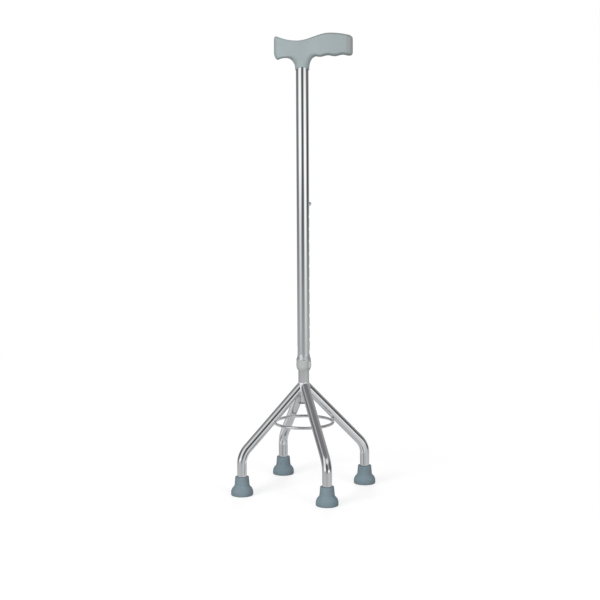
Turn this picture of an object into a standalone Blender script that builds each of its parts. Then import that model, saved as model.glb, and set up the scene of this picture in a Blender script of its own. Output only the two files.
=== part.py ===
"""Quad cane: a moulded T-grip on a telescoping tube that stands on four splayed legs.

Metres, +Z up, the floor at z = 0 and the post's axis on x = y = 0. The grip lies along X.
Heights are chained from the floor: ferrules, legs, post, lock collar, upper tube, grip.
"""

import math

import bmesh
import bpy
from mathutils import Matrix, Vector

MM = 0.001

# Clearances
FIT = 0.3 * MM
TUBE_CLEARANCE = 0.2 * MM

# Rubber ferrules
FERRULE_HEIGHT = 33.4 * MM
FERRULE_BULGE_RADIUS = 19.7 * MM
FERRULE_RIM_WALL = 3.4 * MM
FERRULE_FLARE_HEIGHT = 18.5 * MM
FERRULE_FLOOR = 9.0 * MM
TREAD_DEPTH = 1.2 * MM
WASHER_THICKNESS = 1.6 * MM
WASHER_HOLE_RADIUS = 3.0 * MM

# Legs, in the order right, back, left, front
LEG_COUNT = 4
FIRST_LEG_TURN = math.radians(19.4)
FOOT_RADIUS = 117.5 * MM
LEG_OD = 17.0 * MM
LEG_WALL = 1.2 * MM
LEG_SPLAY = math.radians(44.0)
LEG_BEND_RADIUS = 39.0 * MM
SHANK = 22.6 * MM

# Brace ring under the legs
RING_ROD = 5.5 * MM
RING_DROP = 70.5 * MM

# Lower tube, which is the post of the base
POST_DROP = 35.7 * MM
POST_OVER_BUTTON = 45.0 * MM

# Upper tube, with the adjustment holes on its +X side
UPPER_OD = 22.2 * MM
TUBE_WALL = 1.1 * MM
UPPER_LENGTH = 549.0 * MM
CROWN_TO_MOUTH = 43.1 * MM
HOLE_COUNT = 13
HOLE_PITCH = 22.0 * MM
LOWEST_HOLE = 14.3 * MM
BELL_GROWTH = 2.15 * MM
BELL_STRAIGHT = 3.0 * MM
BELL_CONE = 5.6 * MM

# Lock collar in the tube's mouth
COLLAR_HEIGHT = 18.4 * MM
COLLAR_WALL = 3.1 * MM
COLLAR_NOSE = 2.4 * MM
COLLAR_FOOT = 6.5 * MM
PAD_SPAN = math.radians(104.0)
PAD_THICKNESS = 0.5 * MM
PAD_MARGIN = 4.6 * MM
BUSH_SLOT = 1.2 * MM

# Snap button and its leaf spring
BUTTON_RADIUS = 3.5 * MM
BUTTON_PROUD = 3.8 * MM
BUTTON_FLANGE = 1.1 * MM
BUTTON_FLANGE_THICKNESS = 1.0 * MM
SPRING_THICKNESS = 0.6 * MM
SPRING_WIDTH = 7.0 * MM
SPRING_HEIGHT = 34.0 * MM

# T-grip. X is measured from the tube's axis, heights from the neck's lower end
GRIP_NOSE = 49.0 * MM
GRIP_HEEL = 88.3 * MM
GRIP_THICKNESS = 25.0 * MM
NECK_WALL = 1.0 * MM
NECK_ARCH = 5.3 * MM
SOCKET_DEPTH = 39.3 * MM
SADDLE_HEIGHT = 51.8 * MM
SADDLE_X = -10.1 * MM
NOSE_HEIGHT = 61.3 * MM
HUMP_HEIGHT = 65.3 * MM
HUMP_X = 48.5 * MM
HEEL_HEIGHT = 59.5 * MM
NOSE_UNDERSIDE = 22.1 * MM
NOSE_TOE = 3.2 * MM
HEEL_UNDERSIDE = 24.7 * MM
UNDERSIDE_RISE = 1.9 * MM
FINGER_WAVE = 1.1 * MM
FINGER_PITCH = 25.7 * MM
FIRST_RIDGE_X = 31.6 * MM
NECK_STRAIGHT = 3.6 * MM
NOSE_FILLET = 15.6 * MM
HEEL_FILLET = 12.4 * MM
HEEL_CORNER = 7.0 * MM
NOSE_CORNER = 5.0 * MM
SADDLE_EDGE = 2.5 * MM
PALM_EDGE = 5.5 * MM
END_EDGE = 8.5 * MM
PALM_SWELL = 0.06

# Facets
ROUND = 40
LEG_SIDES = 16
BEND_STEPS = 8
FERRULE_SIDES = 20
HOLE_SIDES = 16

# Radii that follow from the sizes above
UPPER_R = UPPER_OD / 2
BORE_R = UPPER_R - TUBE_WALL
POST_R = BORE_R - TUBE_CLEARANCE
POST_BORE_R = POST_R - TUBE_WALL
LEG_R = LEG_OD / 2
HOLE_R = BUTTON_RADIUS + FIT
SOCKET_R = UPPER_R + FIT
NECK_R = SOCKET_R + NECK_WALL
BELL_R = UPPER_R + BELL_GROWTH
COLLAR_BORE_R = POST_R + FIT
BUTTON_FLANGE_R = BUTTON_RADIUS + BUTTON_FLANGE

# Heights that follow from the sizes above
BEND_Z = FERRULE_HEIGHT + SHANK
CROWN_Z = BEND_Z + LEG_BEND_RADIUS * math.tan(LEG_SPLAY / 2) + FOOT_RADIUS / math.tan(LEG_SPLAY)
POST_BOTTOM_Z = CROWN_Z - POST_DROP
RING_Z = CROWN_Z - RING_DROP
MOUTH_Z = CROWN_Z + CROWN_TO_MOUTH
BUTTON_Z = MOUTH_Z + LOWEST_HOLE + (HOLE_COUNT - 1) * HOLE_PITCH
POST_TOP_Z = BUTTON_Z + POST_OVER_BUTTON
TUBE_TOP_Z = MOUTH_Z + UPPER_LENGTH
NECK_Z = TUBE_TOP_Z + FIT - SOCKET_DEPTH


def clear_scene():
    for obj in list(bpy.data.objects):
        bpy.data.objects.remove(obj, do_unlink=True)


def finish(name, colour, roughness, metallic=0.0):
    """A Principled material of its own for one sub-part."""
    material = bpy.data.materials.new(name)
    material.use_nodes = True
    shader = material.node_tree.nodes["Principled BSDF"]
    shader.inputs["Base Color"].default_value = (*colour, 1.0)
    shader.inputs["Roughness"].default_value = roughness
    shader.inputs["Metallic"].default_value = metallic
    return material


def chrome(name):
    return finish(name + "_chrome", (0.72, 0.73, 0.74), 0.12, 1.0)


def add_object(name, bm, material=None, smooth=True, place=None):
    """Turns a bmesh into an object, with its faces pointing out."""
    bmesh.ops.recalc_face_normals(bm, faces=bm.faces)
    mesh = bpy.data.meshes.new(name)
    bm.to_mesh(mesh)
    bm.free()
    for face in mesh.polygons:
        face.use_smooth = smooth
    if material:
        mesh.materials.append(material)
    obj = bpy.data.objects.new(name, mesh)
    if place:
        obj.matrix_world = place
    bpy.context.scene.collection.objects.link(obj)
    return obj


def cut(obj, cutter, operation="DIFFERENCE"):
    """Applies a helper solid to an object with an exact Boolean modifier."""
    cutter.hide_render = True
    cutter.display_type = "WIRE"
    modifier = obj.modifiers.new(cutter.name, "BOOLEAN")
    modifier.operation = operation
    modifier.solver = "EXACT"
    modifier.object = cutter


def lathe(profile, sides, angle=math.tau):
    """Spins a closed profile of (radius, height) points about Z."""
    bm = bmesh.new()
    ring = [bm.verts.new((radius, 0, height)) for radius, height in profile]
    edges = [bm.edges.new((ring[i], ring[(i + 1) % len(ring)])) for i in range(len(ring))]
    on_axis = [e for e in edges if all(v.co.x < 1e-7 for v in e.verts)]
    bmesh.ops.delete(bm, geom=on_axis, context="EDGES")
    whole = angle == math.tau
    bmesh.ops.spin(
        bm, geom=bm.verts[:] + bm.edges[:], cent=(0, 0, 0), axis=(0, 0, 1),
        angle=angle, steps=sides, use_merge=whole,
    )
    bmesh.ops.remove_doubles(bm, verts=bm.verts, dist=1e-7)
    return bm


def cylinder(bm, radius, depth, place, sides=ROUND):
    """Adds a closed cylinder, centred on the place given and along its Z."""
    bmesh.ops.create_cone(
        bm, cap_ends=True, segments=sides, radius1=radius, radius2=radius, depth=depth, matrix=place,
    )


def arc(centre, radius, start, end, steps):
    """Points (x, z) on a circle, with angles in degrees from +X towards +Z."""
    turn = [math.radians(start + (end - start) * i / steps) for i in range(steps + 1)]
    return [(centre[0] + radius * math.cos(t), centre[1] + radius * math.sin(t)) for t in turn]


def along_x(x=0.0, y=0.0, z=0.0):
    """A place whose own Z points along world +X."""
    return Matrix.Translation((x, y, z)) @ Matrix.Rotation(math.pi / 2, 4, "Y")


def leg_place(index):
    """The frame of one leg: its own X points from the post to the foot."""
    return Matrix.Rotation(FIRST_LEG_TURN + index * math.tau / LEG_COUNT, 4, "Z")


# Ferrules and washers

def ferrule_profile():
    """Half section of a ferrule, from the middle of its sole up the outside and down the bore."""
    rim = LEG_R + FIT + FERRULE_RIM_WALL
    bulge = FERRULE_BULGE_RADIUS
    flare = FERRULE_FLARE_HEIGHT
    neck_foot = rim + 1.3 * MM
    sole = bulge - 1.0 * MM
    tread = [(0.0, 0.0)]
    for inner in (0.42, 0.72):
        tread += [
            (sole * inner, 0.0), (sole * inner, TREAD_DEPTH),
            (sole * (inner + 0.12), TREAD_DEPTH), (sole * (inner + 0.12), 0.0),
        ]
    outside = [
        (sole, 0.0), (bulge - 0.3 * MM, 0.7 * MM), (bulge, 2.4 * MM), (bulge, 7.2 * MM),
        (bulge - 0.8 * MM, 9.8 * MM), (bulge - 2.6 * MM, 12.6 * MM),
        (neck_foot + 0.9 * MM, flare - 2.6 * MM), (neck_foot, flare),
        (rim, FERRULE_HEIGHT - 1.4 * MM), (rim - 0.5 * MM, FERRULE_HEIGHT - 0.4 * MM),
        (rim - 1.3 * MM, FERRULE_HEIGHT),
    ]
    bore = LEG_R + FIT
    return tread + outside + [(bore, FERRULE_HEIGHT), (bore, FERRULE_FLOOR), (0.0, FERRULE_FLOOR)]


def make_ferrules():
    for index in range(LEG_COUNT):
        place = leg_place(index) @ Matrix.Translation((FOOT_RADIUS, 0, 0))
        rubber = finish(f"ferrule_{index + 1}_rubber", (0.155, 0.205, 0.225), 0.7)
        add_object(f"ferrule_{index + 1}", lathe(ferrule_profile(), FERRULE_SIDES), rubber, place=place)

        low = FERRULE_FLOOR + FIT
        high = low + WASHER_THICKNESS
        washer = [(WASHER_HOLE_RADIUS, low), (LEG_R, low), (LEG_R, high), (WASHER_HOLE_RADIUS, high)]
        steel = finish(f"washer_{index + 1}_steel", (0.55, 0.56, 0.57), 0.35, 1.0)
        add_object(f"ferrule_washer_{index + 1}", lathe(washer, LEG_SIDES), steel, False, place)


# Legs and brace ring

def leg_path():
    """Stations (x, z, lean) of a leg's centre line, from the foot up to the post's axis."""
    bottom = FERRULE_FLOOR + 2 * FIT + WASHER_THICKNESS
    path = [(FOOT_RADIUS, bottom, 0.0)]
    centre = FOOT_RADIUS - LEG_BEND_RADIUS
    for i in range(BEND_STEPS + 1):
        lean = LEG_SPLAY * i / BEND_STEPS
        x = centre + LEG_BEND_RADIUS * math.cos(lean)
        path.append((x, BEND_Z + LEG_BEND_RADIUS * math.sin(lean), lean))
    path.append((0.0, CROWN_Z, LEG_SPLAY))
    return path


def bent_tube(path, radius, bore):
    """Bridges outer and inner circles along a path in the XZ plane into a tube with open ends."""
    bm = bmesh.new()
    last = None
    for x, z, lean in path:
        station = Matrix.Translation((x, 0, z)) @ Matrix.Rotation(-lean, 4, "Y")
        loops = []
        for r in (radius, bore):
            made = bmesh.ops.create_circle(bm, cap_ends=False, segments=LEG_SIDES, radius=r, matrix=station)
            loops.append(made["verts"])
        edges = [edges_of(bm, loop) for loop in loops]
        if last is None:
            bmesh.ops.bridge_loops(bm, edges=edges[0] + edges[1])
        else:
            bmesh.ops.bridge_loops(bm, edges=last[0] + edges[0])
            bmesh.ops.bridge_loops(bm, edges=last[1] + edges[1])
        last = edges
    bmesh.ops.bridge_loops(bm, edges=last[0] + last[1])
    return bm


def edges_of(bm, loop):
    """The edges whose two ends are both in one loop of vertices."""
    inside = set(loop)
    return [e for e in bm.edges if e.verts[0] in inside and e.verts[1] in inside]


def mitre_cutter():
    """Everything outside a leg's own quarter round the post, so that the four tops meet in mitres."""
    reach = 3 * LEG_OD
    gap = FIT / 2 * math.sqrt(2)
    outline = [(gap, 0), (gap + reach, reach), (-reach, reach), (-reach, -reach), (gap + reach, -reach)]
    bm = bmesh.new()
    low = CROWN_Z - reach
    face = bm.faces.new([bm.verts.new((x, y, low)) for x, y in outline])
    grown = bmesh.ops.extrude_face_region(bm, geom=[face])
    top = [v for v in grown["geom"] if isinstance(v, bmesh.types.BMVert)]
    bmesh.ops.translate(bm, verts=top, vec=(0, 0, 2 * reach))
    return bm


def make_legs():
    post = bmesh.new()
    cylinder(post, POST_R + FIT, 6 * LEG_OD, Matrix.Translation((0, 0, CROWN_Z)))
    post_cutter = add_object("cut_post", post)
    for index in range(LEG_COUNT):
        place = leg_place(index)
        name = f"leg_{index + 1}"
        leg = add_object(name, bent_tube(leg_path(), LEG_R, LEG_R - LEG_WALL), chrome(name), place=place)
        cut(leg, add_object(f"cut_mitre_{index + 1}", mitre_cutter(), place=place))
        cut(leg, post_cutter)


def ring_radius():
    """Centre line of the brace ring, which touches the legs' inner sides at its height."""
    off_line = LEG_R + RING_ROD / 2 + FIT
    return RING_DROP * math.tan(LEG_SPLAY) - off_line / math.cos(LEG_SPLAY)


def make_ring():
    profile = arc((ring_radius(), 0), RING_ROD / 2, 0, 315, 7)
    add_object("brace_ring", lathe(profile, ROUND), chrome("brace_ring"), place=Matrix.Translation((0, 0, RING_Z)))


# Tubes

def make_lower_tube():
    profile = [
        (POST_BORE_R, POST_BOTTOM_Z), (POST_R, POST_BOTTOM_Z),
        (POST_R, POST_TOP_Z), (POST_BORE_R, POST_TOP_Z),
    ]
    post = add_object("lower_tube", lathe(profile, ROUND), chrome("lower_tube"))
    hole = bmesh.new()
    cylinder(hole, HOLE_R, 2 * UPPER_R, along_x(UPPER_R, 0, BUTTON_Z), HOLE_SIDES)
    cut(post, add_object("cut_button_hole", hole))


def bell_profile():
    """Outer side of the tube's mouth: a short straight bell and a cone up to the tube."""
    lip = 0.5 * MM
    return [
        (BELL_R - lip, 0.0), (BELL_R, lip), (BELL_R, BELL_STRAIGHT - lip),
        (BELL_R - lip, BELL_STRAIGHT + lip), (UPPER_R, BELL_STRAIGHT + BELL_CONE),
    ]


def make_upper_tube():
    outside = bell_profile() + [(UPPER_R, UPPER_LENGTH)]
    inside = [
        (BORE_R, UPPER_LENGTH), (BORE_R, BELL_STRAIGHT + BELL_CONE),
        (BELL_R - TUBE_WALL, BELL_STRAIGHT), (BELL_R - TUBE_WALL, 0.0),
    ]
    place = Matrix.Translation((0, 0, MOUTH_Z))
    tube = add_object("upper_tube", lathe(outside + inside, ROUND), chrome("upper_tube"), place=place)
    holes = bmesh.new()
    for index in range(HOLE_COUNT):
        height = LOWEST_HOLE + index * HOLE_PITCH
        cylinder(holes, HOLE_R, 2 * UPPER_R, along_x(UPPER_R, 0, height), HOLE_SIDES)
    cut(tube, add_object("cut_adjustment_holes", holes, place=place))


# Lock collar and its bush

def collar_profile():
    """Half section of the collar below the mouth, with a nose that enters the bell."""
    outer = COLLAR_BORE_R + COLLAR_WALL
    nose = BELL_R - TUBE_WALL - FIT
    top = -FIT
    bottom = top - COLLAR_HEIGHT
    return [
        (COLLAR_BORE_R, bottom), (outer - 2.2 * MM, bottom), (outer - 1.4 * MM, bottom + COLLAR_FOOT * 0.27),
        (outer - 0.7 * MM, bottom + COLLAR_FOOT * 0.58), (outer - 0.2 * MM, bottom + COLLAR_FOOT * 0.84),
        (outer, bottom + COLLAR_FOOT),
        (outer, top - 0.6 * MM), (outer - 0.4 * MM, top), (nose, top),
        (nose, top + COLLAR_NOSE), (COLLAR_BORE_R, top + COLLAR_NOSE),
    ]


def pad_profile():
    """Half section of the raised thumb pad on the collar's +X side."""
    inner = COLLAR_BORE_R + COLLAR_WALL / 2
    outer = COLLAR_BORE_R + COLLAR_WALL + PAD_THICKNESS
    low = -FIT - COLLAR_HEIGHT + PAD_MARGIN
    high = -FIT - PAD_MARGIN / 2
    soft = 0.6 * MM
    return [
        (inner, low), (outer - 2 * soft, low), (outer - soft / 2, low + soft / 2), (outer, low + 2 * soft),
        (outer, high - soft), (outer - soft, high), (inner, high),
    ]


def make_collar():
    plastic = finish("lock_collar_plastic", (0.42, 0.45, 0.45), 0.4)
    place = Matrix.Translation((0, 0, MOUTH_Z))
    collar = add_object("lock_collar", lathe(collar_profile(), ROUND), plastic, place=place)
    sides = 12
    pad = lathe(pad_profile(), sides, PAD_SPAN)
    bmesh.ops.holes_fill(pad, edges=pad.edges, sides=0)
    bmesh.ops.rotate(pad, verts=pad.verts, matrix=Matrix.Rotation(-PAD_SPAN / 2, 3, "Z"))
    cut(collar, add_object("add_thumb_pad", pad, place=place), "UNION")


def make_bush():
    """Split cone between the bell and the lower tube, pressed up by the collar's nose."""
    wide = BELL_R - TUBE_WALL - FIT
    low = COLLAR_NOSE
    shoulder = BELL_STRAIGHT - FIT / 2
    slope = (wide - (BORE_R - FIT)) / BELL_CONE
    tip = COLLAR_BORE_R + 0.45 * MM
    high = shoulder + (wide - tip) / slope
    profile = [(COLLAR_BORE_R, low), (wide, low), (wide, shoulder), (tip, high), (COLLAR_BORE_R, high)]
    nylon = finish("collar_bush_nylon", (0.62, 0.62, 0.58), 0.45)
    place = Matrix.Translation((0, 0, MOUTH_Z))
    bush = add_object("collar_bush", lathe(profile, ROUND), nylon, place=place)
    slot = bmesh.new()
    size = Matrix.Diagonal((2 * BELL_R, BUSH_SLOT, 4 * BELL_CONE, 1))
    bmesh.ops.create_cube(slot, size=1, matrix=Matrix.Translation((-BELL_R, 0, high)) @ size)
    cut(bush, add_object("cut_bush_slot", slot, place=place))


# Snap button and spring

def flange_face():
    """How far the flange's outer face lies from the axis when it rests on the post's wall."""
    return math.sqrt(POST_BORE_R ** 2 - BUTTON_FLANGE_R ** 2) - FIT


def make_button():
    face = flange_face()
    back = face - BUTTON_FLANGE_THICKNESS
    tip = UPPER_R + BUTTON_PROUD
    dome = BUTTON_RADIUS
    profile = [(0, back), (BUTTON_FLANGE_R, back), (BUTTON_FLANGE_R, face), (BUTTON_RADIUS, face)]
    profile += [(x, z) for x, z in arc((0, tip - dome), dome, 0, 90, 6)]
    button = lathe(profile, HOLE_SIDES)
    place = along_x(0, 0, BUTTON_Z)
    add_object("snap_button", button, finish("snap_button_zinc", (0.6, 0.6, 0.6), 0.25, 1.0), place=place)


def spring_line():
    """Centre line (x, z) of the leaf: button arm, bow at the top, back arm."""
    half = SPRING_THICKNESS / 2
    front = flange_face() - BUTTON_FLANGE_THICKNESS - FIT - half
    back = -(math.sqrt(POST_BORE_R ** 2 - (SPRING_WIDTH / 2) ** 2) - FIT - half)
    seat = BUTTON_FLANGE_R
    bow = 2.4 * MM
    bow_x = back + bow
    line = [(front, -seat), (front, seat)]
    line += arc((bow_x, SPRING_HEIGHT), bow, 20, 180, 8)
    return line + [(back, -seat)]


def make_spring():
    """Offsets the leaf's centre line to both sides and extrudes the strip across its width."""
    line = [Vector(p) for p in spring_line()]
    half = SPRING_THICKNESS / 2
    left, right = [], []
    for i, point in enumerate(line):
        before = (point - line[i - 1]).normalized() if i else (line[1] - point).normalized()
        after = (line[i + 1] - point).normalized() if i + 1 < len(line) else before
        along = (before + after).normalized()
        normal = Vector((-along.y, along.x)) * half / max(along.dot(before), 0.5)
        left.append(point + normal)
        right.append(point - normal)
    bm = bmesh.new()
    for a, b in zip(range(len(line) - 1), range(1, len(line))):
        corners = [left[a], left[b], right[b], right[a]]
        bm.faces.new([bm.verts.new((p.x, -SPRING_WIDTH / 2, p.y)) for p in corners])
    bmesh.ops.remove_doubles(bm, verts=bm.verts, dist=1e-7)
    grown = bmesh.ops.extrude_face_region(bm, geom=bm.faces[:])
    far = [v for v in grown["geom"] if isinstance(v, bmesh.types.BMVert)]
    bmesh.ops.translate(bm, verts=far, vec=(0, SPRING_WIDTH, 0))
    steel = finish("button_spring_steel", (0.45, 0.46, 0.48), 0.3, 1.0)
    add_object("button_spring", bm, steel, False, Matrix.Translation((0, 0, BUTTON_Z)))


# T-grip

def grip_top(x):
    """Height of the grip's upper edge: a saddle over the neck and a hump for the palm."""
    if x < SADDLE_X:
        share = (SADDLE_X - x) / (SADDLE_X + GRIP_NOSE)
        return SADDLE_HEIGHT + (NOSE_HEIGHT - SADDLE_HEIGHT) * share ** 2
    if x < HUMP_X:
        share = (x - SADDLE_X) / (HUMP_X - SADDLE_X)
        return SADDLE_HEIGHT + (HUMP_HEIGHT - SADDLE_HEIGHT) * (1 - math.cos(math.pi * share)) / 2
    share = (x - HUMP_X) / (GRIP_HEEL - HUMP_X)
    return HUMP_HEIGHT - (HUMP_HEIGHT - HEEL_HEIGHT) * share ** 2


def grip_underside(x):
    """Height of the lower edge on the heel side, with a hollow for each finger."""
    run = (x - FIRST_RIDGE_X) / (GRIP_HEEL - FIRST_RIDGE_X)
    wave = math.cos(math.tau * (x - FIRST_RIDGE_X) / FINGER_PITCH)
    return HEEL_UNDERSIDE + UNDERSIDE_RISE * run - FINGER_WAVE * wave


def quarter(centre, half_width, height, start, end, steps):
    """Points on an ellipse about a centre, with angles in degrees."""
    turn = [math.radians(start + (end - start) * i / steps) for i in range(steps + 1)]
    return [(centre[0] + half_width * math.cos(t), centre[1] + height * math.sin(t)) for t in turn]


def curve_through(start, corner, end, steps):
    """Points on a curve that leaves the start towards the corner and reaches the end from it."""
    points = []
    for i in range(steps + 1):
        t = i / steps
        a, b, c = (1 - t) ** 2, 2 * t * (1 - t), t ** 2
        points.append(tuple(a * p + b * q + c * r for p, q, r in zip(start, corner, end)))
    return points


def spread(first, last, steps):
    return [first + (last - first) * i / steps for i in range(steps + 1)]


def grip_outline():
    """Side outline (x, z), from the neck's left foot over the nose, top, heel and back down."""
    nose_edge = -NECK_R - NOSE_FILLET
    toe_x = -GRIP_NOSE + 1.5 * NOSE_CORNER
    toe_z = NOSE_UNDERSIDE - NOSE_TOE
    left = [(-NECK_R, 0.0)]
    left += quarter((nose_edge, NECK_STRAIGHT), NOSE_FILLET, NOSE_UNDERSIDE - NECK_STRAIGHT, 0, 90, 8)
    left += curve_through(left[-1], ((nose_edge + toe_x) / 2 - 2 * MM, NOSE_UNDERSIDE), (toe_x, toe_z), 4)[1:]

    side_low = (-GRIP_NOSE, toe_z + 2 * NOSE_CORNER)
    side_high = (-GRIP_NOSE, NOSE_HEIGHT - 1.6 * NOSE_CORNER)
    top_x = -GRIP_NOSE + NOSE_CORNER
    nose = curve_through((toe_x, toe_z), (toe_x - NOSE_CORNER, toe_z - 1 * MM), side_low, 5)[1:]
    nose += [(-GRIP_NOSE, (side_low[1] + side_high[1]) / 2)]
    nose += curve_through(side_high, (-GRIP_NOSE, NOSE_HEIGHT - 0.4 * MM), (top_x, grip_top(top_x)), 4)

    heel_x = GRIP_HEEL - HEEL_CORNER
    top = [(x, grip_top(x)) for x in spread(top_x, heel_x, 22)[1:]]

    lip_x = GRIP_HEEL - 0.75 * HEEL_CORNER
    heel_high = (GRIP_HEEL, grip_top(heel_x) - HEEL_CORNER)
    heel_low = (GRIP_HEEL, grip_underside(lip_x) + 0.9 * HEEL_CORNER)
    heel = curve_through(top[-1], (GRIP_HEEL, grip_top(GRIP_HEEL)), heel_high, 4)[1:]
    heel += [(GRIP_HEEL, (heel_high[1] + heel_low[1]) / 2)]
    heel += curve_through(heel_low, (GRIP_HEEL, grip_underside(lip_x)), (lip_x, grip_underside(lip_x)), 4)

    fillet_x = NECK_R + HEEL_FILLET
    waves = [(x, grip_underside(x)) for x in spread(lip_x, fillet_x, 20)[1:-1]]
    rise = grip_underside(fillet_x) - NECK_STRAIGHT
    right = quarter((fillet_x, NECK_STRAIGHT), HEEL_FILLET, rise, 90, 180, 7)
    return left + nose + top + heel + waves + right + [(NECK_R, 0.0)]


def ease(share):
    """A soft step from 0 to 1."""
    share = max(0.0, min(1.0, share))
    return share * share * (3 - 2 * share)


def middle_height(x):
    """Height of the grip's middle line."""
    return (grip_top(x) + HEEL_UNDERSIDE) / 2


def off_neck(point):
    """0 for an outline point on the neck, rising to 1 where the neck's fillets end."""
    x, z = point
    if z > middle_height(x):
        return 1.0
    return max(0.0, min(1.0, (abs(x) - NECK_R) / max(NOSE_FILLET, HEEL_FILLET)))


def core_point(point):
    """Where the rounding of an outline point heads: the grip's middle line, or the neck's axis."""
    x, z = point
    away = off_neck(point)
    rise = (middle_height(x) - z) * min(1.0, 1.6 * away)
    inset = 0.75 * GRIP_THICKNESS
    if away < 1:
        return Vector((x * away, z + rise))
    return Vector((max(min(x, GRIP_HEEL - inset), inset - GRIP_NOSE), z + rise))


def edge_reach(point):
    """How far in from an outline point the rounding runs: least on the saddle, most round the neck."""
    x, _ = point
    reach = SADDLE_EDGE + (PALM_EDGE - SADDLE_EDGE) * ease((x - SADDLE_X) / (HUMP_X - SADDLE_X))
    to_end = min(x + GRIP_NOSE, GRIP_HEEL - x)
    reach += (END_EDGE - reach) * ease(1 - to_end / END_EDGE)
    return reach + (GRIP_THICKNESS / 2 - reach) * ease(1 - off_neck(point))


def distance_to(outline, point):
    """Shortest distance from a point to the open outline."""
    best = math.inf
    for a, b in zip(outline, outline[1:]):
        along = b - a
        share = max(0.0, min(1.0, (point - a).dot(along) / along.length_squared))
        best = min(best, (point - a - along * share).length)
    return best


def swell(x):
    """Thickness of the grip along its length: fuller under the palm, slimmer at both ends."""
    palm = PALM_SWELL * math.exp(-((x - HUMP_X) / (0.4 * GRIP_HEEL)) ** 2)
    end = 0.0
    for reach in (x / GRIP_HEEL, -x / GRIP_NOSE):
        end = max(end, reach)
    return 1 + palm - 0.12 * end ** 4


def neck_arch():
    """A cylinder across the neck that raises its rim at the front and the back."""
    chord = 0.95 * NECK_R
    radius = (chord ** 2 + NECK_ARCH ** 2) / (2 * NECK_ARCH)
    bm = bmesh.new()
    across = Matrix.Translation((0, 0, NECK_ARCH - radius)) @ Matrix.Rotation(math.pi / 2, 4, "X")
    cylinder(bm, radius, 2 * GRIP_THICKNESS, across)
    return bm


def make_grip():
    """Rounds a slab of the outline's shape over rings that step in from its edge."""
    outline = [Vector(p) for p in grip_outline()]
    half = GRIP_THICKNESS / 2
    bm = bmesh.new()
    edge = [bm.verts.new((p.x, 0, p.y)) for p in outline]
    for side in (-1, 1):
        last = edge
        for angle in (16, 32, 48, 62, 75, 86):
            ring = []
            for p in outline:
                reach = edge_reach(p)
                q = p + (core_point(p) - p).normalized() * reach * (1 - math.cos(math.radians(angle)))
                depth = min(distance_to(outline, q) / reach, 1.0)
                y = half * math.sqrt(1 - (1 - depth) ** 2) * swell(q.x)
                ring.append(bm.verts.new((q.x, side * y, q.y)))
            for i in range(len(ring) - 1):
                bm.faces.new((last[i], last[i + 1], ring[i + 1], ring[i]))
            last = ring
        flat = [bm.edges.get((last[i], last[i + 1])) for i in range(len(last) - 1)]
        flat.append(bm.edges.new((last[-1], last[0])))
        bmesh.ops.triangle_fill(bm, edges=flat, use_beauty=True)
    bmesh.ops.holes_fill(bm, edges=bm.edges, sides=0)
    plastic = finish("handle_grip_plastic", (0.36, 0.43, 0.44), 0.5)
    grip = add_object("handle_grip", bm, plastic, place=Matrix.Translation((0, 0, NECK_Z)))
    socket = bmesh.new()
    cylinder(socket, SOCKET_R, 2 * SOCKET_DEPTH, Matrix.Identity(4))
    cut(grip, add_object("cut_socket", socket, place=Matrix.Translation((0, 0, NECK_Z))))
    cut(grip, add_object("cut_neck_arch", neck_arch(), place=Matrix.Translation((0, 0, NECK_Z))))


def main():
    clear_scene()
    make_ferrules()
    make_legs()
    make_ring()
    make_lower_tube()
    make_upper_tube()
    make_collar()
    make_bush()
    make_button()
    make_spring()
    make_grip()


main()
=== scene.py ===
"""Looks of a quad cane: finishes, finely made pieces, studio and camera.

Metres, +Z up. The camera looks along +Y. Sizes come from the CAD nodes' boxes where they can,
and otherwise stand below as the maker's own sizes. Colours are linear RGB.
"""

import math

import bmesh
import bpy
from mathutils import Matrix, Vector


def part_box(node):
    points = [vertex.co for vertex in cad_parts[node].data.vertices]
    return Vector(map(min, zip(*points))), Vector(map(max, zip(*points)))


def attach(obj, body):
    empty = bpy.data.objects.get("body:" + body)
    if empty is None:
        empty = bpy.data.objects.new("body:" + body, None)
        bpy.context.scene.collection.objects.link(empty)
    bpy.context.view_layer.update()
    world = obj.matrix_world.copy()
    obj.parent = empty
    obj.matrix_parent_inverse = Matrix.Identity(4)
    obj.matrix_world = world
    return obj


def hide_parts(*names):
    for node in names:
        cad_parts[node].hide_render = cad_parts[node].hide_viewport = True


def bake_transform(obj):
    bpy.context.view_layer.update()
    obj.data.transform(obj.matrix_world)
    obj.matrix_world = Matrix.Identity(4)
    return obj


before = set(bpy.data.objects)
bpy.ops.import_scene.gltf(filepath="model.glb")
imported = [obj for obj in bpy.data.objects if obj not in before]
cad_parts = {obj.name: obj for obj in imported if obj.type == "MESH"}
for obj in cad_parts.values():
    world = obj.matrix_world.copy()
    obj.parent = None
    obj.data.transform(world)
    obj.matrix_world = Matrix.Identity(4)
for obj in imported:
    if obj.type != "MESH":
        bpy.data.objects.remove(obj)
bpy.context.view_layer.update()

MM = 0.001

# Camera
CAMERA_PLACE = (-0.0060, -2.450, 0.658)
CAMERA_PITCH = math.radians(7.3)
CAMERA_ROLL = math.radians(0.31)
CAMERA_LENS = 83.34
SENSOR_WIDTH = 36.0
CLIP_NEAR = 0.05
CLIP_FAR = 60.0

# Legs
LEG_COUNT = 4
FIRST_LEG_TURN = math.radians(19.4)
FOOT_RADIUS = 117.5 * MM
LEG_RADIUS = 8.5 * MM
LEG_SPLAY = math.radians(44.0)
LEG_BEND_RADIUS = 39.0 * MM
LEG_BEND_HEIGHT = 56.0 * MM
POST_CUTTER = 200.0 * MM

# Welds and brace ring
WELD_REACH = 42.0 * MM
WELD_VOXEL = 0.5 * MM
WELD_EASE = 70
RING_ROD_RADIUS = 2.75 * MM
TACK_RADIUS = 2.7 * MM
TACK_SHAPE = (0.55, 1.25, 1.0)
TACK_OUTSET = 0.2 * MM

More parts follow.
